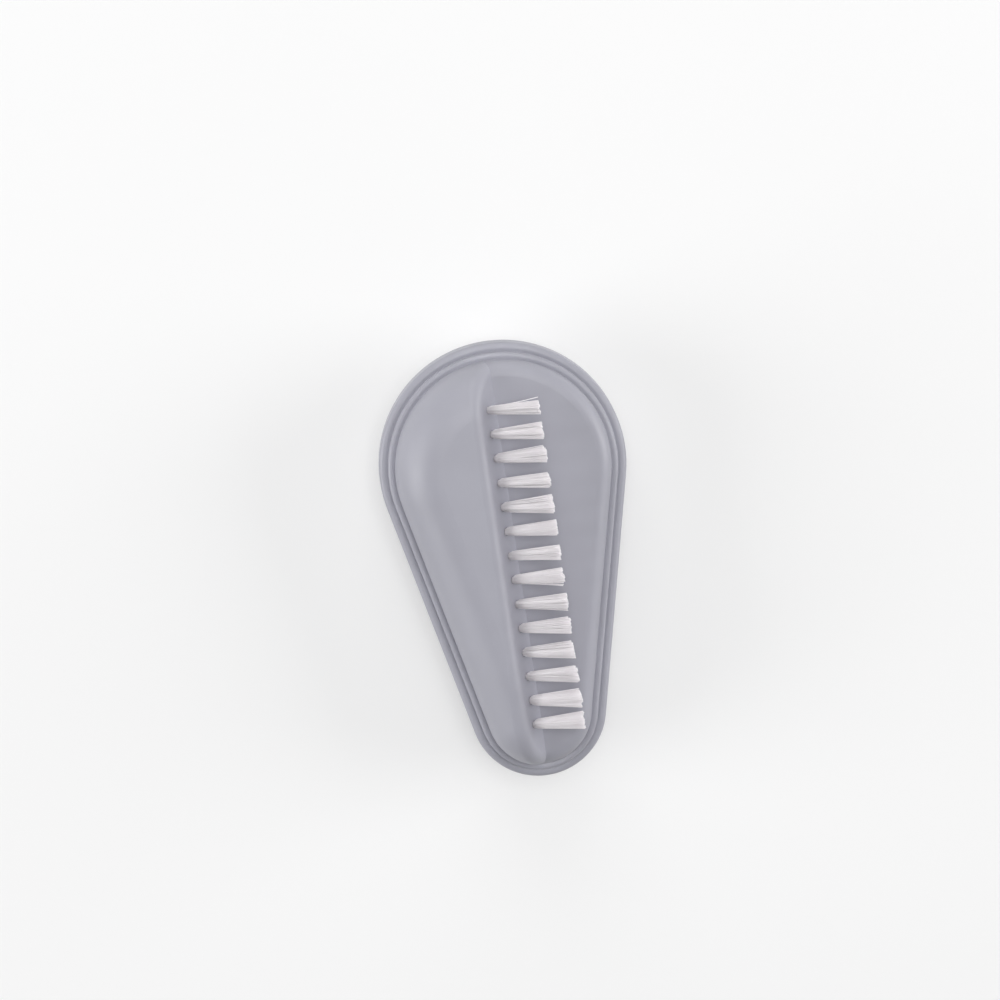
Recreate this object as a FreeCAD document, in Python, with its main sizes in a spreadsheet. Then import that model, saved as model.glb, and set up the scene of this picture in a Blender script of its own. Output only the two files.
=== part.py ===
"""Nail brush: a teardrop tuft plate, a hollow top shell with a raised ridge, and staple-set bristle tufts.

Frame: +Z up, +Y towards the wide end, +X towards the side that the ridge row points to.
The origin lies under the middle of the outline, on the plane of the bed bristles' tips.
All lengths are millimetres and all angles degrees.
"""

import FreeCAD
import Part
import Sketcher

import math
import os

# Driving dimensions: alias, value, what it measures
SIZES = [
    ("overall_length", 90.0, "tip to tip of the outer rim"),
    ("wide_radius", 25.1, "outer rim radius at the wide end"),
    ("narrow_radius", 13.85, "outer rim radius at the narrow end"),
    ("plate_height", 6.0, "tuft plate, underside to its rim ledge"),
    ("plate_top_round", 1.0, "round on the plate's upper rim"),
    ("plate_foot_round", 1.6, "round on the plate's lower rim"),
    ("rim_ledge", 1.8, "ledge left outside the shell's flange"),
    ("flange_ledge", 1.4, "ledge left outside the shell's deck"),
    ("flange_rise", 1.7, "height of the shell's flange"),
    ("flange_round", 0.6, "round on the flange's upper edge"),
    ("ledge_dip", 0.12, "how far a ledge dips towards the foot of the step above"),
    ("deck_rise", 3.2, "height of the deck above the flange"),
    ("deck_round", 3.0, "round on the deck's edge"),
    ("least_land", 0.2, "least flat or upright face left beside a round"),
    ("ridge_rise", 7.0, "height of the ridge above the deck"),
    ("dome_round", 9.2, "round from the ridge's top down to its sides"),
    ("wall_foot", 0.1, "foot of the ridge wall, right of the centre line"),
    ("wall_lean", 28.0, "lean of the ridge wall from upright"),
    ("crest_round", 2.5, "round along the ridge's crest"),
    ("shell_wall", 2.0, "wall of the top shell"),
    ("bar_backing", 1.6, "plastic left behind the ridge holes"),
    ("tongue_inset", 1.0, "flange edge to the tongue"),
    ("tongue_width", 1.2, "width of the joining tongue"),
    ("tongue_depth", 1.6, "depth of the joining tongue"),
    ("tongue_clearance", 0.05, "gap beside and below the tongue"),
    ("hole_diameter", 1.5, "tuft hole"),
    ("hole_depth", 4.6, "tuft hole"),
    ("tuft_clearance", 0.04, "gap between a tuft and its hole's wall"),
    ("tuft_neck", 0.6, "straight length of a tuft above its hole"),
    ("anchor_width", 2.1, "flat wire anchor, across the hole"),
    ("anchor_height", 1.4, "flat wire anchor, along the hole"),
    ("anchor_thickness", 0.4, "flat wire anchor"),
    ("anchor_seat", 0.6, "folded filaments under an anchor"),
    ("anchor_clearance", 0.02, "gap round an anchor"),
    ("row_count", 14, "tufts in the ridge row"),
    ("row_wide_margin", 12.3, "wide end's outer rim to the ridge row, along the brush"),
    ("row_narrow_margin", 12.7, "narrow end's outer rim to the ridge row, along the brush"),
    ("row_up_wall", 3.4, "foot of the ridge wall to the row, up the wall"),
    ("row_free_length", 11.3, "ridge tuft beyond the wall, along its axis to its upright trim"),
    ("row_tip_gap", 1.2, "gap between the trimmed ends of two ridge tufts"),
    ("bed_row_count", 16, "rows of tufts in the bed"),
    ("bed_end_margin", 8.25, "outer rim to the bed's first and last row, along the brush"),
    ("bed_side_margin", 5.8, "outer rim to the nearest bed tuft's axis"),
    ("bed_pitch", 5.6, "spacing of bed tufts along a row"),
    ("bed_free_length", 10.0, "bed tuft below the plate"),
    ("bed_tip_diameter", 3.3, "bed tuft at its trimmed end"),
]

document = FreeCAD.newDocument("nail_brush")
sheet = document.addObject("Spreadsheet::Sheet", "Sizes")
for line, (alias, number, meaning) in enumerate(SIZES, start=1):
    sheet.set(f"A{line}", alias)
    sheet.set(f"B{line}", str(number))
    sheet.set(f"C{line}", meaning)
    sheet.setAlias(f"B{line}", alias)
document.recompute()

# Heights of the stacked levels and other shared distances, as expressions of the sheet
PLATE_FOOT = "Sizes.bed_free_length"
PLATE_TOP = f"({PLATE_FOOT} + Sizes.plate_height)"
FLANGE_TOP = f"({PLATE_TOP} + Sizes.flange_rise)"
SHELL_SEAT = f"({PLATE_TOP} - Sizes.ledge_dip)"
DECK_SEAT = f"({FLANGE_TOP} - Sizes.ledge_dip)"
DECK = f"({FLANGE_TOP} + Sizes.deck_rise)"
CREST = f"({DECK} + Sizes.ridge_rise)"
FLANGE_INSET = "Sizes.rim_ledge"
DECK_INSET = "(Sizes.rim_ledge + Sizes.flange_ledge)"
TONGUE_INSET = "(Sizes.rim_ledge + Sizes.tongue_inset)"
RIM_SLOPE = "(Sizes.rim_ledge - Sizes.plate_top_round - Sizes.least_land)"
FLANGE_SLOPE = "(Sizes.flange_ledge - Sizes.flange_round - Sizes.least_land)"
DECK_ROUND = "min(Sizes.deck_round; Sizes.deck_rise - Sizes.least_land)"
DOME_ROUND = (
    "min(Sizes.dome_round; Sizes.deck_rise + Sizes.ridge_rise - Sizes.least_land;"
    f" Sizes.narrow_radius - {DECK_INSET} - Sizes.least_land)"
)
WIDE_CENTRE = "(Sizes.overall_length / 2 - Sizes.wide_radius)"
NARROW_CENTRE = "(Sizes.overall_length / 2 - Sizes.narrow_radius)"
ROW_START = "(Sizes.row_narrow_margin - Sizes.overall_length / 2)"
ROW_LENGTH = "(Sizes.overall_length - Sizes.row_wide_margin - Sizes.row_narrow_margin)"
ROW_PITCH = f"({ROW_LENGTH} / (Sizes.row_count - 1))"
BED_START = "(Sizes.overall_length / 2 - Sizes.bed_end_margin)"
BED_ROW_PITCH = "((Sizes.overall_length - 2 * Sizes.bed_end_margin) / (Sizes.bed_row_count - 1))"
ANCHOR_TOP = "(Sizes.hole_depth - Sizes.anchor_seat - Sizes.anchor_height)"
TUFT_ROOT = "(Sizes.hole_diameter / 2 - Sizes.tuft_clearance)"
ROW_TIP = f"({ROW_PITCH} - Sizes.row_tip_gap)"

# Positions of a sketch's own axes and points in constraints
HORIZONTAL_AXIS, VERTICAL_AXIS = range(-1, -3, -1)
START, END, CENTRE = range(1, 4)
ORIGIN = (HORIZONTAL_AXIS, START)
SAME = 1e-6

# Every pocket made, to be checked at the end
pockets = []


def value(expression):
    """The number that an expression of the sheet has now."""
    number = sheet.evalExpression(expression)
    return float(getattr(number, "Value", number))


def new_body(label):
    """An empty body with that label."""
    body = document.addObject("PartDesign::Body", label)
    body.Label = label
    body.AllowCompound = True
    return body


def origin_part(body, role):
    """One of a body's own origin planes or axes."""
    return next(part for part in body.Origin.OriginFeatures if part.Role == role)


def new_sketch(body, name, plane, **offsets):
    """A sketch on one of the body's origin planes, moved by expressions for its local x, y and z."""
    sketch = body.newObject("Sketcher::SketchObject", name)
    sketch.AttachmentSupport = [(origin_part(body, plane), "")]
    sketch.MapMode = "FlatFace"
    for axis, expression in offsets.items():
        sketch.setExpression(f"AttachmentOffset.Base.{axis}", expression)
    return sketch


def hold(sketch, expression, kind, *places):
    """A dimension of the sketch that follows an expression."""
    index = sketch.addConstraint(Sketcher.Constraint(kind, *places, value(expression)))
    sketch.setExpression(f"Constraints[{index}]", expression)


def close_loop(sketch, lines):
    """Joins each line's end to the start of the next, all round."""
    for line, following in zip(lines, lines[1:] + lines[:1]):
        sketch.addConstraint(Sketcher.Constraint("Coincident", line, END, following, START))


def teardrop(sketch, inset):
    """Adds the outline that lies an inset inside the outer rim: two end arcs and two tangent lines."""
    wide = value(f"Sizes.wide_radius - {inset}")
    narrow = value(f"Sizes.narrow_radius - {inset}")
    wide_y, narrow_y = value(WIDE_CENTRE), -value(NARROW_CENTRE)
    slant = math.asin((wide - narrow) / (wide_y - narrow_y))
    up = FreeCAD.Vector(0, 0, 1)
    point = FreeCAD.Vector
    wide_circle = Part.Circle(point(0, wide_y, 0), up, wide)
    narrow_circle = Part.Circle(point(0, narrow_y, 0), up, narrow)

    def touch(radius, y, side):
        return point(side * radius * math.cos(slant), y - radius * math.sin(slant), 0)

    first = sketch.addGeometry(
        [
            Part.ArcOfCircle(wide_circle, -slant, math.pi + slant),
            Part.LineSegment(touch(wide, wide_y, -1), touch(narrow, narrow_y, -1)),
            Part.ArcOfCircle(narrow_circle, math.pi + slant, 2 * math.pi - slant),
            Part.LineSegment(touch(narrow, narrow_y, 1), touch(wide, wide_y, 1)),
        ],
        False,
    )[0]
    wide_arc, left, narrow_arc, right = range(first, first + 4)
    for one, other in ((wide_arc, left), (left, narrow_arc), (narrow_arc, right), (right, wide_arc)):
        sketch.addConstraint(Sketcher.Constraint("Tangent", one, END, other, START))
    for arc in (wide_arc, narrow_arc):
        sketch.addConstraint(Sketcher.Constraint("PointOnObject", arc, CENTRE, VERTICAL_AXIS))
    hold(sketch, f"Sizes.wide_radius - {inset}", "Radius", wide_arc)
    hold(sketch, f"Sizes.narrow_radius - {inset}", "Radius", narrow_arc)
    hold(sketch, WIDE_CENTRE, "DistanceY", *ORIGIN, wide_arc, CENTRE)
    hold(sketch, NARROW_CENTRE, "DistanceY", narrow_arc, CENTRE, *ORIGIN)


def centred_rectangle(sketch, width, height):
    """Adds a rectangle about the sketch's origin."""
    x, y = value(width) / 2, value(height) / 2
    corners = [FreeCAD.Vector(*corner, 0) for corner in ((-x, -y), (x, -y), (x, y), (-x, y))]
    sides = sketch.addGeometry(
        [Part.LineSegment(corners[side], corners[(side + 1) % 4]) for side in range(4)],
        False,
    )
    close_loop(sketch, sides)
    for side in range(4):
        sketch.addConstraint(Sketcher.Constraint(("Horizontal", "Vertical")[side % 2], sides[side]))
    sketch.addConstraint(Sketcher.Constraint("Symmetric", sides[0], START, sides[2], START, *ORIGIN))
    hold(sketch, width, "DistanceX", sides[0], START, sides[0], END)
    hold(sketch, height, "DistanceY", sides[1], START, sides[1], END)


def centred_circle(sketch, diameter):
    """Adds a circle about the sketch's origin."""
    circle = Part.Circle(FreeCAD.Vector(), FreeCAD.Vector(0, 0, 1), value(diameter) / 2)
    index = sketch.addGeometry(circle, False)
    sketch.addConstraint(Sketcher.Constraint("Coincident", index, CENTRE, *ORIGIN))
    hold(sketch, diameter, "Diameter", index)


def pad(body, name, sketch, length, against_normal=False):
    """A pad of the sketch, along its normal unless told otherwise."""
    feature = body.newObject("PartDesign::Pad", name)
    feature.Profile = sketch
    feature.Reversed = against_normal
    feature.setExpression("Length", length)
    return feature


def pocket(body, name, sketch, length=None, along_normal=False):
    """A pocket of the sketch, against its normal unless told otherwise, or right through both ways."""
    feature = body.newObject("PartDesign::Pocket", name)
    feature.Profile = sketch
    feature.Reversed = along_normal
    if length is None:
        feature.SideType = "Two sides"
        feature.Type = "ThroughAll"
        feature.Type2 = "ThroughAll"
    else:
        feature.setExpression("Length", length)
    pockets.append(feature)
    return feature


def dip_ledge(body, name, level, inset, slope):
    """Slopes a ledge down towards an inset outline, and lowers all that lies inside it."""
    outline = new_sketch(body, f"{name}_outline", "XY_Plane", z=level)
    teardrop(outline, f"({inset} - {slope})")
    feature = pocket(body, name, outline, "Sizes.ledge_dip")
    feature.setExpression("TaperAngle", f"-atan(0.85 * {slope} / Sizes.ledge_dip)")


def in_plane(edge, point, normal):
    """Whether an edge lies in the plane through a point."""
    return all(abs((place - point).dot(normal)) < SAME for place in edge.discretize(5))


def round_edges(body, name, base, radius, point, normal, above=-math.inf):
    """A fillet on the base's edges that lie in a plane and reach above a height."""
    document.recompute()
    edges = [
        f"Edge{number}"
        for number, edge in enumerate(base.Shape.Edges, start=1)
        if in_plane(edge, point, normal) and edge.BoundBox.ZMax > above
    ]
    feature = body.newObject("PartDesign::Fillet", name)
    feature.Base = (base, edges)
    feature.setExpression("Radius", radius)
    return feature


def round_loop(body, name, base, level, radius):
    """A fillet on every edge of the base that lies at that level."""
    up = FreeCAD.Vector(0, 0, 1)
    return round_edges(body, name, base, radius, up * value(level), up)


def combine(body, name, kind, tools):
    """A boolean of the body with other bodies."""
    feature = body.newObject("PartDesign::Boolean", name)
    feature.setObjects(tools)
    feature.Type = kind


def repeat(body, name, features, count, pitch):
    """Copies of the features along the body's Y axis, if there is more than one."""
    if count < 2:
        return
    feature = body.newObject("PartDesign::LinearPattern", name)
    feature.Originals = features
    feature.Direction = (origin_part(body, "Y_Axis"), [""])
    feature.Mode = "Spacing"
    feature.setExpression("Offset", pitch)
    feature.Occurrences = count
    body.Tip = feature


# A socket has a frame of its own: the hole's mouth at the origin, the tuft along +X and rows along Y


def on_ridge(body, number):
    """Puts a body made in the socket frame at one place of the ridge row."""
    rotation = FreeCAD.Rotation(FreeCAD.Vector(0, -1, 0), value("Sizes.wall_lean"))
    body.Placement = FreeCAD.Placement(FreeCAD.Vector(), rotation)
    body.setExpression("Placement.Rotation.Angle", "Sizes.wall_lean")
    body.setExpression("Placement.Base.x", "Sizes.wall_foot - Sizes.row_up_wall * sin(Sizes.wall_lean)")
    body.setExpression("Placement.Base.y", f"{ROW_START} + {number} * {ROW_PITCH}")
    body.setExpression("Placement.Base.z", f"{DECK} + Sizes.row_up_wall * cos(Sizes.wall_lean)")


def on_bed(body, row):
    """Puts a body made in the socket frame at the first place of a bed row, pointing down."""
    place, count = row
    down, along, across = FreeCAD.Vector(0, 0, -1), FreeCAD.Vector(1, 0, 0), FreeCAD.Vector(0, -1, 0)
    body.Placement = FreeCAD.Placement(FreeCAD.Vector(), FreeCAD.Rotation(down, along, across, "XYZ"))
    body.setExpression("Placement.Base.x", f"-{count - 1} / 2 * Sizes.bed_pitch")
    body.setExpression("Placement.Base.y", place)
    body.setExpression("Placement.Base.z", PLATE_FOOT)


def bed_rows():
    """Place along the brush, as an expression, and tuft count of each staggered bed row."""
    margin, pitch = value("Sizes.bed_side_margin"), value("Sizes.bed_pitch")
    wide, narrow = value("Sizes.wide_radius") - margin, value("Sizes.narrow_radius") - margin
    wide_y, narrow_y = value(WIDE_CENTRE), -value(NARROW_CENTRE)
    slant = math.asin((wide - narrow) / (wide_y - narrow_y))
    rows = []
    for number in range(int(value("Sizes.bed_row_count"))):
        place = f"{BED_START} - {number} * {BED_ROW_PITCH}"
        y = value(place)
        if y > wide_y - wide * math.sin(slant):
            half_width = math.sqrt(max(wide**2 - (y - wide_y) ** 2, 0))
        elif y < narrow_y - narrow * math.sin(slant):
            half_width = math.sqrt(max(narrow**2 - (y - narrow_y) ** 2, 0))
        else:
            half_width = (wide + (y - wide_y) * math.sin(slant)) / math.cos(slant)
        pairs = int(half_width / pitch) if number % 2 else int(half_width / pitch + 0.5)
        rows.append((place, 2 * pairs + 1 if number % 2 else max(2 * pairs, 1)))
    return rows


def anchor_slot_sketch(body, clearance):
    """Section of a flat wire anchor, or of the room for one, at the anchor's outer end."""
    sketch = new_sketch(body, "anchor_section", "YZ_Plane", z=f"{clearance} - {ANCHOR_TOP}")
    width = f"Sizes.anchor_width + 2 * {clearance}"
    centred_rectangle(sketch, width, f"Sizes.anchor_thickness + 2 * {clearance}")
    return sketch


def build_bores(label, count, pitch):
    """Tool for a row of tuft holes, each with the side slots that its anchor bites into."""
    body = new_body(label)
    mouth = new_sketch(body, "mouth", "YZ_Plane")
    centred_circle(mouth, "Sizes.hole_diameter")
    hole = pad(body, "hole", mouth, "Sizes.hole_depth", against_normal=True)
    section = anchor_slot_sketch(body, "Sizes.anchor_clearance")
    slot = pad(body, "slot", section, "Sizes.anchor_height + 2 * Sizes.anchor_clearance", against_normal=True)
    repeat(body, "row", [hole, slot], count, pitch)
    return body


def build_anchors(label, count, pitch):
    """A row of flat wire anchors, each across the bottom of its hole."""
    body = new_body(label)
    section = anchor_slot_sketch(body, "0")
    wire = pad(body, "wire", section, "Sizes.anchor_height", against_normal=True)
    repeat(body, "row", [wire], count, pitch)
    return body


def build_tufts(label, free_length, tip_diameter, count, pitch):
    """A row of tufts: a root that fills its hole round the anchor, then a spread to a flat trim."""
    body = new_body(label)
    profile = new_sketch(body, "half_profile", "XY_Plane")
    corners = [
        (-value("Sizes.hole_depth"), 0),
        (-value("Sizes.hole_depth"), value(TUFT_ROOT)),
        (value("Sizes.tuft_neck"), value(TUFT_ROOT)),
        (value(free_length), value(tip_diameter) / 2),
        (value(free_length), 0),
    ]
    points = [FreeCAD.Vector(*corner, 0) for corner in corners]
    sides = profile.addGeometry(
        [Part.LineSegment(points[side], points[(side + 1) % 5]) for side in range(5)],
        False,
    )
    bottom, wall, spread, trim, axis = sides
    close_loop(profile, sides)
    for upright in (bottom, trim):
        profile.addConstraint(Sketcher.Constraint("Vertical", upright))
    for level in (wall, axis):
        profile.addConstraint(Sketcher.Constraint("Horizontal", level))
    profile.addConstraint(Sketcher.Constraint("PointOnObject", bottom, START, HORIZONTAL_AXIS))
    hold(profile, "Sizes.hole_depth", "DistanceX", bottom, START, *ORIGIN)
    hold(profile, TUFT_ROOT, "DistanceY", bottom, START, bottom, END)
    hold(profile, "Sizes.tuft_neck", "DistanceX", *ORIGIN, wall, END)
    hold(profile, free_length, "DistanceX", *ORIGIN, trim, END)
    hold(profile, f"{tip_diameter} / 2", "DistanceY", trim, END, trim, START)
    tuft = body.newObject("PartDesign::Revolution", "tuft")
    tuft.Profile = profile
    tuft.ReferenceAxis = (origin_part(body, "X_Axis"), [""])
    section = anchor_slot_sketch(body, "Sizes.anchor_clearance")
    fold = pocket(body, "fold", section, "Sizes.anchor_height + 2 * Sizes.anchor_clearance")
    repeat(body, "row", [tuft, fold], count, pitch)
    return body


def trim_upright(body):
    """Cuts a ridge tuft's end along an upright plane, which leans away from square to the tuft."""
    section = new_sketch(body, "trim_section", "XZ_Plane")
    overrun = f"{ROW_TIP} * tan(Sizes.wall_lean)"
    near, far = f"Sizes.row_free_length - {overrun}", f"Sizes.row_free_length + {overrun}"
    low = FreeCAD.Vector(value(near), -value(ROW_TIP), 0)
    high = FreeCAD.Vector(value(far), value(ROW_TIP), 0)
    corner = FreeCAD.Vector(high.x, low.y, 0)
    sides = section.addGeometry(
        [Part.LineSegment(low, corner), Part.LineSegment(corner, high), Part.LineSegment(high, low)],
        False,
    )
    sill, end, trim = sides
    close_loop(section, sides)
    section.addConstraint(Sketcher.Constraint("Horizontal", sill))
    section.addConstraint(Sketcher.Constraint("Vertical", end))
    hold(section, near, "DistanceX", *ORIGIN, sill, START)
    hold(section, far, "DistanceX", *ORIGIN, end, START)
    hold(section, ROW_TIP, "DistanceY", sill, START, *ORIGIN)
    hold(section, ROW_TIP, "DistanceY", *ORIGIN, trim, START)
    pocket(body, "upright_trim", section)


def build_tuft_plate(rows):
    """The lower moulding: the lowest rim tier, the groove for the shell's tongue and the bed's holes."""
    body = new_body("tuft_plate")
    outline = new_sketch(body, "plate_outline", "XY_Plane", z=PLATE_FOOT)
    teardrop(outline, "0")
    slab = pad(body, "plate_slab", outline, "Sizes.plate_height")
    top_edge = round_loop(body, "plate_top_edge", slab, PLATE_TOP, "Sizes.plate_top_round")
    round_loop(body, "plate_foot_edge", top_edge, PLATE_FOOT, "Sizes.plate_foot_round")
    dip_ledge(body, "rim_dip", PLATE_TOP, FLANGE_INSET, RIM_SLOPE)
    groove = new_sketch(body, "groove_outline", "XY_Plane", z=SHELL_SEAT)
    teardrop(groove, f"({TONGUE_INSET} - Sizes.tongue_clearance)")
    teardrop(groove, f"({TONGUE_INSET} + Sizes.tongue_width + Sizes.tongue_clearance)")
    pocket(body, "tongue_groove", groove, "Sizes.tongue_depth + Sizes.tongue_clearance")
    bores = []
    for number, row in enumerate(rows, start=1):
        bores.append(build_bores(f"bed_bores_{number:02d}", row[1], "Sizes.bed_pitch"))
        on_bed(bores[-1], row)
    combine(body, "bed_holes", "Cut", bores)
    return body


def build_dome():
    """The raised half of the top shell, as a solid: a rounded teardrop cut off by the leaning ridge wall."""
    body = new_body("dome")
    outline = new_sketch(body, "dome_outline", "XY_Plane", z=FLANGE_TOP)
    teardrop(outline, DECK_INSET)
    block = pad(body, "dome_block", outline, "Sizes.deck_rise + Sizes.ridge_rise")
    round_loop(body, "dome_edge", block, CREST, DOME_ROUND)
    recess = new_sketch(body, "recess_profile", "XZ_Plane")
    lean = math.radians(value("Sizes.wall_lean"))
    right, above, below = value("Sizes.wide_radius"), value(f"{CREST} + Sizes.flange_rise"), value(PLATE_TOP)
    wall_low = f"(Sizes.wall_foot + ({DECK} - {PLATE_TOP}) * tan(Sizes.wall_lean))"
    low = FreeCAD.Vector(value(wall_low), below, 0)
    high = FreeCAD.Vector(low.x - (above - below) * math.tan(lean), above, 0)
    corners = [low, high, FreeCAD.Vector(right, above, 0), FreeCAD.Vector(right, below, 0)]
    sides = recess.addGeometry(
        [Part.LineSegment(corners[side], corners[(side + 1) % 4]) for side in range(4)],
        False,
    )
    wall, lid, side, sill = sides
    close_loop(recess, sides)
    recess.addConstraint(Sketcher.Constraint("Vertical", side))
    for level in (lid, sill):
        recess.addConstraint(Sketcher.Constraint("Horizontal", level))
    hold(recess, wall_low, "DistanceX", *ORIGIN, wall, START)
    hold(recess, PLATE_TOP, "DistanceY", *ORIGIN, wall, START)
    hold(recess, f"{CREST} + Sizes.flange_rise", "DistanceY", *ORIGIN, wall, END)
    hold(recess, "Sizes.wide_radius", "DistanceX", *ORIGIN, side, START)
    slope = recess.addConstraint(Sketcher.Constraint("Angle", wall, math.pi / 2 + lean))
    recess.setExpression(f"Constraints[{slope}]", "(90 + Sizes.wall_lean) * 1 deg")
    wall_cut = pocket(body, "recess", recess)
    foot = FreeCAD.Vector(value("Sizes.wall_foot"), 0, value(DECK))
    outward = FreeCAD.Vector(math.cos(lean), 0, math.sin(lean))
    round_edges(body, "crest_edge", wall_cut, "Sizes.crest_round", foot, outward, value(FLANGE_TOP) + SAME)
    return body


def build_dome_cavity():
    """The hollow under the dome, which leaves a solid bar along the ridge for its tuft holes."""
    body = new_body("dome_cavity")
    outline = new_sketch(body, "cavity_outline", "XY_Plane", z=SHELL_SEAT)
    teardrop(outline, f"({DECK_INSET} + {DOME_ROUND})")
    pad(body, "cavity_block", outline, f"{CREST} - Sizes.shell_wall - {SHELL_SEAT}")
    behind_holes = (
        "Sizes.wall_foot - Sizes.row_up_wall * sin(Sizes.wall_lean)"
        " - (Sizes.hole_depth + Sizes.bar_backing) * cos(Sizes.wall_lean)"
        " - Sizes.hole_diameter / 2 * sin(Sizes.wall_lean)"
    )
    bar = new_sketch(body, "bar_outline", "XY_Plane", x=f"{behind_holes} + Sizes.wide_radius", z=SHELL_SEAT)
    centred_rectangle(bar, "2 * Sizes.wide_radius", "Sizes.overall_length")
    pocket(body, "ridge_bar", bar)
    return body


def build_top_shell():
    """The upper moulding: flange, deck and dome, a tongue below, hollows and the ridge row's holes."""
    body = new_body("top_shell")
    flange_outline = new_sketch(body, "flange_outline", "XY_Plane", z=SHELL_SEAT)
    teardrop(flange_outline, FLANGE_INSET)
    flange = pad(body, "flange", flange_outline, "Sizes.flange_rise + Sizes.ledge_dip")
    round_loop(body, "flange_edge", flange, FLANGE_TOP, "Sizes.flange_round")
    dip_ledge(body, "flange_dip", FLANGE_TOP, DECK_INSET, FLANGE_SLOPE)
    deck_outline = new_sketch(body, "deck_outline", "XY_Plane", z=DECK_SEAT)
    teardrop(deck_outline, DECK_INSET)
    deck = pad(body, "deck", deck_outline, "Sizes.deck_rise + Sizes.ledge_dip")
    round_loop(body, "deck_edge", deck, DECK, DECK_ROUND)
    combine(body, "raised_half", "Fuse", [build_dome()])
    hollow = new_sketch(body, "hollow_outline", "XY_Plane", z=SHELL_SEAT)
    teardrop(hollow, f"({DECK_INSET} + Sizes.shell_wall)")
    depth = f"{DECK} - Sizes.shell_wall - {SHELL_SEAT}"
    pocket(body, "hollow", hollow, depth, along_normal=True)
    combine(body, "dome_hollow", "Cut", [build_dome_cavity()])
    tongue = new_sketch(body, "tongue_outline", "XY_Plane", z=SHELL_SEAT)
    teardrop(tongue, TONGUE_INSET)
    teardrop(tongue, f"({TONGUE_INSET} + Sizes.tongue_width)")
    pad(body, "tongue", tongue, "Sizes.tongue_depth", against_normal=True)
    bores = build_bores("ridge_bores", int(value("Sizes.row_count")), ROW_PITCH)
    on_ridge(bores, 0)
    combine(body, "ridge_holes", "Cut", [bores])
    return body


def build_ridge_row():
    """The ridge row: a body for each tuft, made too long and then trimmed, and one for all anchors."""
    count = int(value("Sizes.row_count"))
    excess = f"(0.75 * {ROW_TIP} * tan(Sizes.wall_lean))"
    slope = f"({ROW_TIP} - 2 * {TUFT_ROOT}) / (Sizes.row_free_length - Sizes.tuft_neck)"
    end_diameter = f"({ROW_TIP} + {slope} * {excess})"
    bodies = []
    for number in range(count):
        label = f"row_tuft_{number + 1:02d}"
        bodies.append(build_tufts(label, f"(Sizes.row_free_length + {excess})", end_diameter, 1, ROW_PITCH))
        trim_upright(bodies[-1])
        on_ridge(bodies[-1], number)
    anchors = build_anchors("row_anchors", count, ROW_PITCH)
    on_ridge(anchors, 0)
    return bodies + [anchors]


def build_bed(rows):
    """The bed of bristles under the plate: a body for each row of tufts, and one group of all anchors."""
    free, tip, pitch = "Sizes.bed_free_length", "Sizes.bed_tip_diameter", "Sizes.bed_pitch"
    bodies = []
    anchor_rows = []
    for number, row in enumerate(rows, start=1):
        bodies.append(build_tufts(f"bed_tufts_row_{number:02d}", free, tip, row[1], pitch))
        on_bed(bodies[-1], row)
        anchor_rows.append(build_anchors(f"bed_anchor_row_{number:02d}", row[1], pitch))
        on_bed(anchor_rows[-1], row)
    anchors = document.addObject("Part::Compound", "bed_anchors")
    anchors.Label = "bed_anchors"
    anchors.Links = anchor_rows
    return bodies + [anchors]


bed = bed_rows()
pieces = [build_tuft_plate(bed), build_top_shell(), *build_ridge_row(), *build_bed(bed)]
document.recompute()

for item in document.Objects:
    if "Invalid" in item.State or "Error" in item.State:
        raise RuntimeError(f"{item.Label} failed")
for cut in pockets:
    if cut.Shape.Volume > cut.BaseFeature.Shape.Volume - SAME:
        raise RuntimeError(f"{cut.Label} cuts nothing")
for piece in pieces:
    if piece.Shape.isNull() or not piece.Shape.isValid():
        raise RuntimeError(f"{piece.Label} has no valid shape")

os.makedirs("parts", exist_ok=True)
for piece in pieces:
    piece.Shape.exportStep(os.path.join("parts", f"{piece.Label}.step"))
    print(piece.Label, len(piece.Shape.Solids), "solids", round(piece.Shape.Volume, 2), "mm3")
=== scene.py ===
"""Nail brush scene: plastic body, nylon filaments, pale floor, soft light and camera.

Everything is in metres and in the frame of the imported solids.
"""

import math
import random

import bpy
from mathutils import Matrix, Vector


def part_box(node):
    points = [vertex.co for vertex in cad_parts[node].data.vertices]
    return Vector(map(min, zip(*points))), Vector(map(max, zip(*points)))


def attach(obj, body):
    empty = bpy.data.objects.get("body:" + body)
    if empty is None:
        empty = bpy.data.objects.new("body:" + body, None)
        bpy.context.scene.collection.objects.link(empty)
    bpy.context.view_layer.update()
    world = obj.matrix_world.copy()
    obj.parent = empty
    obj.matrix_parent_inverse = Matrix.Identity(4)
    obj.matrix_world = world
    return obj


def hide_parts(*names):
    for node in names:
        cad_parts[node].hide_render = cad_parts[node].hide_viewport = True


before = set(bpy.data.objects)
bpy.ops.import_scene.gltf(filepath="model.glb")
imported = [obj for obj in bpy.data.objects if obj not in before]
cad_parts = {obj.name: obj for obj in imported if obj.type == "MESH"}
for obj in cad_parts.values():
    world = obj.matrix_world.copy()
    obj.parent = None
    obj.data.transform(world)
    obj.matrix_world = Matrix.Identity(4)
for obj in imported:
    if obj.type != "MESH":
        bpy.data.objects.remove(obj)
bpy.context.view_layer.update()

MM = 0.001
GOLDEN_TURN = math.pi * (3 - math.sqrt(5))
ALONG = Vector((0, 1, 0))

# Tufts: what the solids' boxes don't tell
ROW_RISE = math.radians(28)
HOLE_DEPTH = 4.6 * MM
BED_PITCH = 5.6 * MM
ROOT_RADIUS = 0.73 * MM
ROW_PROUD = 0.3 * MM  # how far past its solid a ridge tuft would reach before its trim
ROOT_CUT = 2.2 * MM  # how far down its hole a filament is modelled
NECK = 0.05 * MM  # how far a filament stays straight outside its hole
SHOULDER = 0.06  # the share of the free length in which a tuft swells out of its hole
SHOULDER_SPREAD = 0.25  # the share of its spread that it gains there
BED_FULLNESS = (0.93, 1.0)

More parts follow.
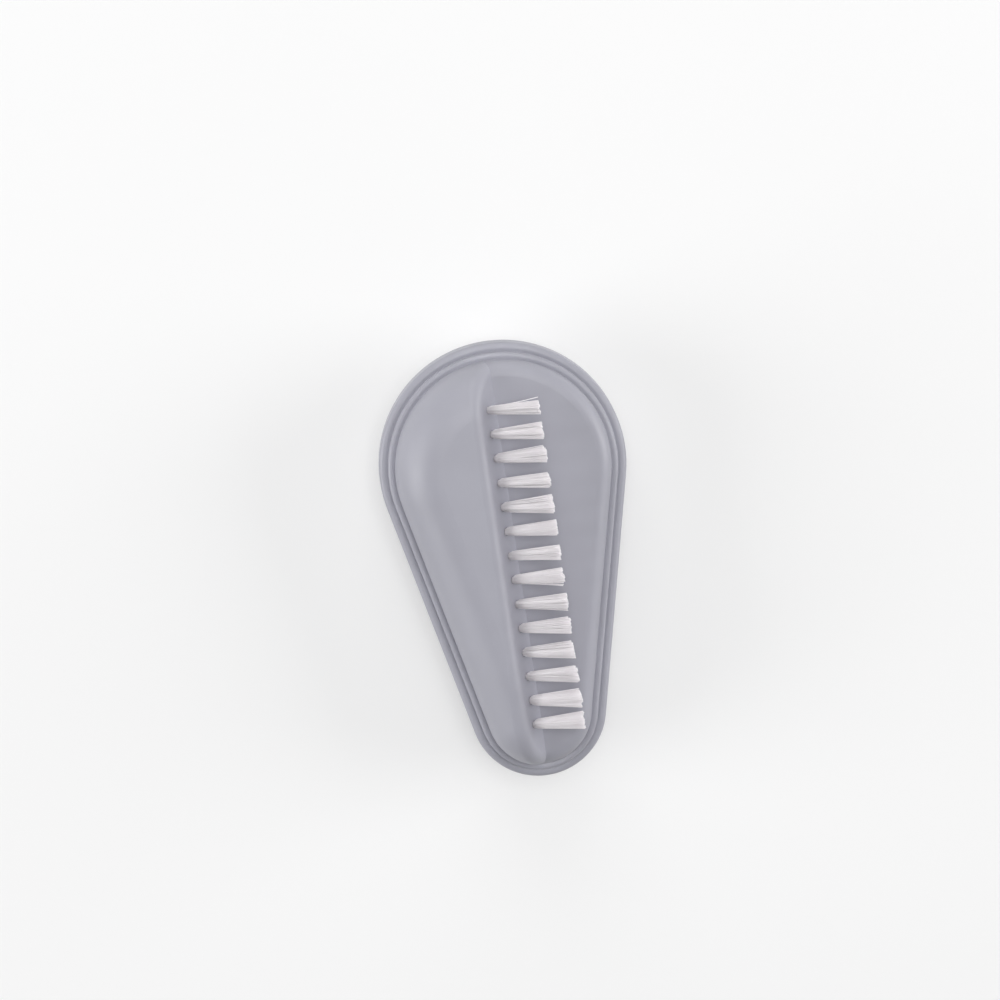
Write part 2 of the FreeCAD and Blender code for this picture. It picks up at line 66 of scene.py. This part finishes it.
# Filaments
ROW_KIND = {"count": 160, "radius": 0.08 * MM, "sides": 6}
BED_KIND = {"count": 70, "radius": 0.09 * MM, "sides": 5}
PACKED = 0.55  # the share of its radius that a filament has in its hole
UNPACKED = 3  # the number of rings over which it gains the rest
OUTWARD = 0.45  # below 0.5, the filaments are denser near the tuft's skin
FREE_STEPS = 4
FREE_PARTS = [0, *(SHOULDER + (1 - SHOULDER) * step / FREE_STEPS for step in range(FREE_STEPS + 1))]
BOW = 0.02 * MM
JITTER = 0.04
SWAY = 0.06 * MM
TIP_ROUND = 0.03 * MM
TIP_SHARE = 0.7
SHARP = math.radians(65)

# Trim: how uneven the tips are one by one, in clumps side by side, in a bow and in a slant
TRIM_SPREAD = 0.1 * MM
CLUMPS = 11
CLUMP_SPREAD = 0.42 * MM
TRIM_BOW = 0.12 * MM
TRIM_SLANT = 0.02

# Ridge tufts by number: lean along the brush at the tip, fullness, number of strays,
# and how far those stray at the tip
ROW_HABITS = {
    1: (0.56 * MM, 0.97, 0, 0),
    2: (0.15 * MM, 1.07, 0, 0),
    3: (0.1 * MM, 0.93, 0, 0),
    4: (0.14 * MM, 1.02, 0, 0),
    5: (0.19 * MM, 0.92, 2, 0.1 * MM),
    6: (0.17 * MM, 0.93, 6, -0.2 * MM),
    7: (0.5 * MM, 0.88, 3, -0.6 * MM),
    8: (0.21 * MM, 0.83, 0, 0),
    9: (0.3 * MM, 0.85, 2, 0.1 * MM),
    10: (0.14 * MM, 1.02, 3, 0.1 * MM),
    11: (0.05 * MM, 0.87, 0, 0),
    12: (0.34 * MM, 0.9, 3, 0.1 * MM),
    13: (0.05 * MM, 0.93, 2, 0.15 * MM),
    14: (-0.12 * MM, 0.75, 1, 0.85 * MM),
}

# Camera: what it is aimed at, its turn about upright, and its leans along and across its picture
AIM = Vector((-1.666, 13.292, 17.7)) * MM
TURN = math.radians(8.21)
LEAN = math.radians(9.09)
SIDE_LEAN = math.radians(-2.71)
DISTANCE = 1.0
VIEW_WIDTH = 202.18 * MM
SENSOR = 36.0
CLIP_START = 0.01

# Colours, linear
PLASTIC = (0.342, 0.341, 0.388)
NYLON = (0.86, 0.82, 0.85)
STEEL = (0.56, 0.56, 0.55)
FLOOR = (0.90, 0.90, 0.90)

# Floor: its reach each way, and the share of plain white in what is seen of it
FLOOR_REACH = 6.0
FLOOR_GLOW = 0.4

# Lamps: direction from the brush, size and level
LAMP_DISTANCE = 1.1
LAMPS = {
    "lamp_front": ((0.05, 0.2, 1), 0.4, 0.33),
    "lamp_head": ((0, 0.64, 0.77), 0.7, 0.12),
    "lamp_head_low": ((0, 0.92, 0.38), 0.7, 0.10),
    "lamp_right": ((0.92, 0, 0.38), 0.7, 0.25),
    "lamp_left": ((-0.92, 0, 0.38), 0.7, 0.25),
}


def shade(colour, factor):
    """A colour made darker or paler, with full opacity."""
    return (*(channel * factor for channel in colour), 1.0)


def new_material(name):
    """A material with its tree's nodes, its links and its shader."""
    made = bpy.data.materials.new(name)
    made.use_nodes = True
    nodes, links = made.node_tree.nodes, made.node_tree.links
    return made, nodes, links, nodes["Principled BSDF"]


def noise(nodes, links, scale, detail, stretch=(1, 1, 1)):
    """Noise in the brush's own frame, in features per metre."""
    place = nodes.new("ShaderNodeTexCoord")
    fit = nodes.new("ShaderNodeMapping")
    fit.inputs["Scale"].default_value = stretch
    texture = nodes.new("ShaderNodeTexNoise")
    texture.inputs["Scale"].default_value = scale
    texture.inputs["Detail"].default_value = detail
    links.new(place.outputs["Object"], fit.inputs["Vector"])
    links.new(fit.outputs["Vector"], texture.inputs["Vector"])
    return texture.outputs["Fac"]


def ramp(nodes, links, factor, low, high, start=0.3, end=0.7):
    """Colours between low and high as a factor goes from start to end."""
    made = nodes.new("ShaderNodeValToRGB")
    made.color_ramp.elements[0].position = start
    made.color_ramp.elements[0].color = low
    made.color_ramp.elements[1].position = end
    made.color_ramp.elements[1].color = high
    links.new(factor, made.inputs["Fac"])
    return made.outputs["Color"]


def span(nodes, links, factor, low, high, start=0.3, end=0.7):
    """Numbers between low and high as a factor goes from start to end."""
    made = nodes.new("ShaderNodeMapRange")
    ends = {"From Min": start, "From Max": end, "To Min": low, "To Max": high}
    for socket, number in ends.items():
        made.inputs[socket].default_value = number
    links.new(factor, made.inputs["Value"])
    return made.outputs["Result"]


def bump(nodes, links, shader, height, strength, distance):
    """Bumps the shader's surface by a height."""
    made = nodes.new("ShaderNodeBump")
    made.inputs["Strength"].default_value = strength
    made.inputs["Distance"].default_value = distance
    links.new(height, made.inputs["Height"])
    links.new(made.outputs["Normal"], shader.inputs["Normal"])


def plastic_material():
    """Satin moulded plastic: faint clouds in the colour, uneven gloss and a fine moulded grain."""
    made, nodes, links, shader = new_material("satin_plastic")
    clouds = noise(nodes, links, scale=70, detail=4)
    colour = ramp(nodes, links, clouds, low=shade(PLASTIC, 0.97), high=shade(PLASTIC, 1.03))
    links.new(colour, shader.inputs["Base Color"])
    gloss = noise(nodes, links, scale=260, detail=3)
    links.new(span(nodes, links, gloss, low=0.38, high=0.49), shader.inputs["Roughness"])
    grain = noise(nodes, links, scale=5200, detail=2)
    bump(nodes, links, shader, grain, strength=0.12, distance=0.02 * MM)
    return made


def nylon_material():
    """White nylon filament: each a little paler or greyer than the next, its skin uneven."""
    made, nodes, links, shader = new_material("nylon_filament")
    each = nodes.new("ShaderNodeNewGeometry").outputs["Random Per Island"]
    colour = ramp(
        nodes, links, each, low=shade(NYLON, 0.97), high=shade(NYLON, 1.03), start=0, end=1
    )
    links.new(colour, shader.inputs["Base Color"])
    gloss = noise(nodes, links, scale=900, detail=2)
    links.new(span(nodes, links, gloss, low=0.30, high=0.42), shader.inputs["Roughness"])
    skin = noise(nodes, links, scale=6000, detail=2)
    bump(nodes, links, shader, skin, strength=0.08, distance=0.01 * MM)
    shader.inputs["Subsurface Weight"].default_value = 0.6
    shader.inputs["Subsurface Radius"].default_value = (1, 1, 1)
    shader.inputs["Subsurface Scale"].default_value = 0.3 * MM
    return made


def steel_material():
    """Drawn flat wire: bright, with fine lines along it."""
    made, nodes, links, shader = new_material("anchor_wire")
    lines = noise(nodes, links, scale=900, detail=3, stretch=(0.1, 1, 1))
    shader.inputs["Metallic"].default_value = 1.0
    colour = ramp(nodes, links, lines, low=shade(STEEL, 0.9), high=shade(STEEL, 1.05))
    links.new(colour, shader.inputs["Base Color"])
    links.new(span(nodes, links, lines, low=0.28, high=0.42), shader.inputs["Roughness"])
    bump(nodes, links, shader, lines, strength=0.15, distance=0.01 * MM)
    return made


def seen_ray(nodes, links):
    """1 for rays from the camera, from reflections and through clear things, and 0 for light."""
    rays = nodes.new("ShaderNodeLightPath")
    seen = rays.outputs["Is Camera Ray"]
    for kind in ("Is Glossy Ray", "Is Transmission Ray"):
        either = nodes.new("ShaderNodeMath")
        either.operation = "MAXIMUM"
        links.new(seen, either.inputs[0])
        links.new(rays.outputs[kind], either.inputs[1])
        seen = either.outputs[0]
    return seen


def floor_material():
    """Pale matt studio paper, paler where it is seen than where it only catches light."""
    made, nodes, links, shader = new_material("studio_floor")
    clouds = noise(nodes, links, scale=8, detail=3)
    colour = ramp(nodes, links, clouds, low=shade(FLOOR, 0.99), high=shade(FLOOR, 1.01))
    links.new(colour, shader.inputs["Base Color"])
    matt = noise(nodes, links, scale=40, detail=2)
    links.new(span(nodes, links, matt, low=0.85, high=0.95), shader.inputs["Roughness"])
    shader.inputs["Specular IOR Level"].default_value = 0.1
    white = nodes.new("ShaderNodeEmission")
    glow = nodes.new("ShaderNodeMath")
    glow.operation = "MULTIPLY"
    glow.inputs[1].default_value = FLOOR_GLOW
    mix = nodes.new("ShaderNodeMixShader")
    links.new(seen_ray(nodes, links), glow.inputs[0])
    links.new(glow.outputs[0], mix.inputs["Fac"])
    links.new(shader.outputs[0], mix.inputs[1])
    links.new(white.outputs[0], mix.inputs[2])
    links.new(mix.outputs[0], nodes["Material Output"].inputs["Surface"])
    return made


def add_filament(vertices, faces, path, radius, sides):
    """Adds a round filament along a path: thinner where it is packed, with a rounded end."""
    first = len(vertices)
    forward = (path[-1] - path[0]).normalized()
    across = forward.orthogonal().normalized()
    beside = forward.cross(across)
    rings = [
        (point, radius * (PACKED + (1 - PACKED) * min(max(number - 1, 0) / UNPACKED, 1)))
        for number, point in enumerate(path)
    ]
    rings.append((path[-1] + forward * TIP_ROUND, radius * TIP_SHARE))
    for point, reach in rings:
        for side in range(sides):
            turn = math.tau * side / sides
            vertices.append(point + (across * math.cos(turn) + beside * math.sin(turn)) * reach)
    for ring in range(len(rings) - 1):
        low = first + ring * sides
        for side in range(sides):
            following = (side + 1) % sides
            faces.append((low + side, low + following, low + sides + following, low + sides + side))
    last = first + (len(rings) - 1) * sides
    faces.append([first + side for side in reversed(range(sides))])
    faces.append([last + side for side in range(sides)])


def add_tuft(vertices, faces, draw, mouth, tip, trim, tip_radius, kind, habit):
    """Adds a tuft's filaments: straight in their hole, then spread to an uneven trim."""
    count, radius, sides = kind["count"], kind["radius"], kind["sides"]
    lean, fullness, strays, astray = habit
    axis = (tip - mouth).normalized()
    above = axis.cross(ALONG)
    sway = ALONG * lean + above * draw.gauss(0, SWAY)
    slant = draw.gauss(0, TRIM_SLANT)
    twist = draw.uniform(0, math.tau)
    clumps = [draw.random() * CLUMP_SPREAD for _ in range(CLUMPS)]
    filaments = []
    for number in range(count):
        out = ((number + 0.5) / count) ** OUTWARD
        turn = twist + number * GOLDEN_TURN
        filaments.append((out * math.cos(turn), out * math.sin(turn)))
    filaments.sort(reverse=astray > 0)
    for number, (aside, outward) in enumerate(filaments):
        root = (ALONG * aside + above * outward) * (ROOT_RADIUS - radius)
        end = ALONG * (aside + draw.gauss(0, JITTER)) + above * (outward + draw.gauss(0, JITTER))
        end = end * fullness * (tip_radius - radius) / max(end.length, 1.0) + sway
        bow = (ALONG * draw.gauss(0, 1) + above * draw.gauss(0, 1)) * BOW
        short = TIP_ROUND + abs(draw.gauss(0, TRIM_SPREAD)) + TRIM_BOW * aside**2
        short += (slant * aside + abs(slant)) * tip_radius
        short += clumps[int((aside + 1) / 2 * CLUMPS)]
        length = ((tip - mouth - end).dot(trim) - short) / axis.dot(trim)
        path = [mouth - axis * ROOT_CUT + root, mouth + root]
        for part in FREE_PARTS:
            fan = SHOULDER_SPREAD * min(part / SHOULDER, 1) + (1 - SHOULDER_SPREAD) * part
            spread = root.lerp(end, fan) + bow * math.sin(math.pi * part)
            if number < strays:
                spread += ALONG * astray * part**2
            path.append(mouth + axis * (NECK + (length - NECK) * part) + spread)
        add_filament(vertices, faces, path, radius, sides)


def make_piece(name, vertices, faces, material, node):
    """A piece of that mesh which rides on the brush and stands for a solid."""
    mesh = bpy.data.meshes.new(name)
    mesh.from_pydata(vertices, [], faces)
    mesh.polygons.foreach_set("use_smooth", [True] * len(mesh.polygons))
    mesh.set_sharp_from_angle(angle=SHARP)
    mesh.materials.append(material)
    mesh.update()
    piece = bpy.data.objects.new(name, mesh)
    bpy.context.scene.collection.objects.link(piece)
    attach(piece, "root")
    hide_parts(node)


def make_row_tuft(node, material):
    """The filaments of one ridge tuft, in the space of its solid, with an upright trim."""
    low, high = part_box(node)
    tip_radius = (high.y - low.y) / 2
    middle = (low.y + high.y) / 2
    axis = Vector((math.cos(ROW_RISE), 0, math.sin(ROW_RISE)))
    bottom = Vector((low.x + ROOT_RADIUS * axis.z, middle, low.z + ROOT_RADIUS * axis.x))
    mouth = bottom + axis * HOLE_DEPTH
    tip = mouth + axis * (high.x + ROW_PROUD - mouth.x) / axis.x
    trim = Vector((1, 0, 0))
    habit = ROW_HABITS[int(node[-2:])]
    draw = random.Random(node)
    vertices, faces = [], []
    add_tuft(vertices, faces, draw, mouth, tip, trim, tip_radius, ROW_KIND, habit)
    make_piece(node.replace("tuft", "filaments"), vertices, faces, material, node)


def make_bed_row(node, material):
    """The filaments of one row of the bed, in the space of its solids, with a level trim."""
    low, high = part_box(node)
    tip_radius = (high.y - low.y) / 2
    middle = (low.y + high.y) / 2
    count = round((high.x - low.x - 2 * tip_radius) / BED_PITCH) + 1
    trim = Vector((0, 0, -1))
    draw = random.Random(node)
    vertices, faces = [], []
    for number in range(count):
        x = low.x + tip_radius + number * BED_PITCH
        mouth = Vector((x, middle, high.z - HOLE_DEPTH))
        tip = Vector((x, middle, low.z))
        habit = (draw.gauss(0, SWAY), draw.uniform(*BED_FULLNESS), 0, 0)
        add_tuft(vertices, faces, draw, mouth, tip, trim, tip_radius, BED_KIND, habit)
    make_piece(node.replace("tufts", "filaments"), vertices, faces, material, node)


def paint(node, material):
    """Gives a solid of the frame a better material."""
    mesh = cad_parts[node].data
    mesh.materials.clear()
    mesh.materials.append(material)


def add_floor(material):
    """A wide pale floor under the brush."""
    corners = [
        (x * FLOOR_REACH, y * FLOOR_REACH, 0) for x, y in ((-1, -1), (1, -1), (1, 1), (-1, 1))
    ]
    mesh = bpy.data.meshes.new("floor")
    mesh.from_pydata(corners, [], [(0, 1, 2, 3)])
    mesh.materials.append(material)
    floor = bpy.data.objects.new("floor", mesh)
    bpy.context.scene.collection.objects.link(floor)


def add_lamp(name, direction, size, level):
    """A soft lamp that adds a level of light to a surface at the brush that faces up."""
    towards = Vector(direction).normalized()
    lamp = bpy.data.lights.new(name, "AREA")
    lamp.size = size
    lamp.energy = level * math.pi**2 * LAMP_DISTANCE**2 / towards.z
    holder = bpy.data.objects.new(name, lamp)
    holder.location = AIM + towards * LAMP_DISTANCE
    holder.rotation_euler = towards.to_track_quat("Z", "Y").to_euler()
    holder.visible_camera = False
    bpy.context.scene.collection.objects.link(holder)


def light_world(level, seen):
    """Even light from all round, which the camera and reflections see as a paler backdrop."""
    world = bpy.data.worlds.new("studio")
    world.use_nodes = True
    nodes, links = world.node_tree.nodes, world.node_tree.links
    light = nodes["Background"]
    light.inputs["Strength"].default_value = level
    light.inputs["Color"].default_value = (1, 1, 1, 1)
    backdrop = nodes.new("ShaderNodeBackground")
    backdrop.inputs["Color"].default_value = (1, 1, 1, 1)
    backdrop.inputs["Strength"].default_value = seen
    mix = nodes.new("ShaderNodeMixShader")
    links.new(seen_ray(nodes, links), mix.inputs["Fac"])
    links.new(light.outputs[0], mix.inputs[1])
    links.new(backdrop.outputs[0], mix.inputs[2])
    links.new(mix.outputs[0], nodes["World Output"].inputs["Surface"])
    bpy.context.scene.world = world


def add_camera():
    """A camera nearly straight above, turned so that the wide end is up and to the left."""
    ahead = Vector((math.sin(TURN), math.cos(TURN), 0))
    across = Vector((math.cos(TURN), -math.sin(TURN), 0))
    back = (ahead * math.tan(LEAN) + across * math.tan(SIDE_LEAN) + Vector((0, 0, 1))).normalized()
    right = ahead.cross(back).normalized()
    up = back.cross(right)
    lens = bpy.data.cameras.new("camera")
    lens.sensor_width = SENSOR
    lens.lens = SENSOR * DISTANCE / VIEW_WIDTH
    lens.clip_start = CLIP_START
    holder = bpy.data.objects.new("camera", lens)
    place = Matrix((right, up, back)).transposed().to_4x4()
    place.translation = AIM + back * DISTANCE
    holder.matrix_world = place
    bpy.context.scene.collection.objects.link(holder)
    bpy.context.scene.camera = holder


plastic, nylon, steel = plastic_material(), nylon_material(), steel_material()
for name in sorted(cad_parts):
    if name.startswith("row_tuft_"):
        make_row_tuft(name, nylon)
    elif name.startswith("bed_tufts_row_"):
        make_bed_row(name, nylon)
    elif name.endswith("_anchors"):
        paint(name, steel)
    else:
        paint(name, plastic)

add_floor(floor_material())
light_world(level=0.06, seen=1.0)
for lamp_name, (direction, size, level) in LAMPS.items():
    add_lamp(lamp_name, direction, size, level)
add_camera()
bpy.context.scene.view_settings.view_transform = "Standard"
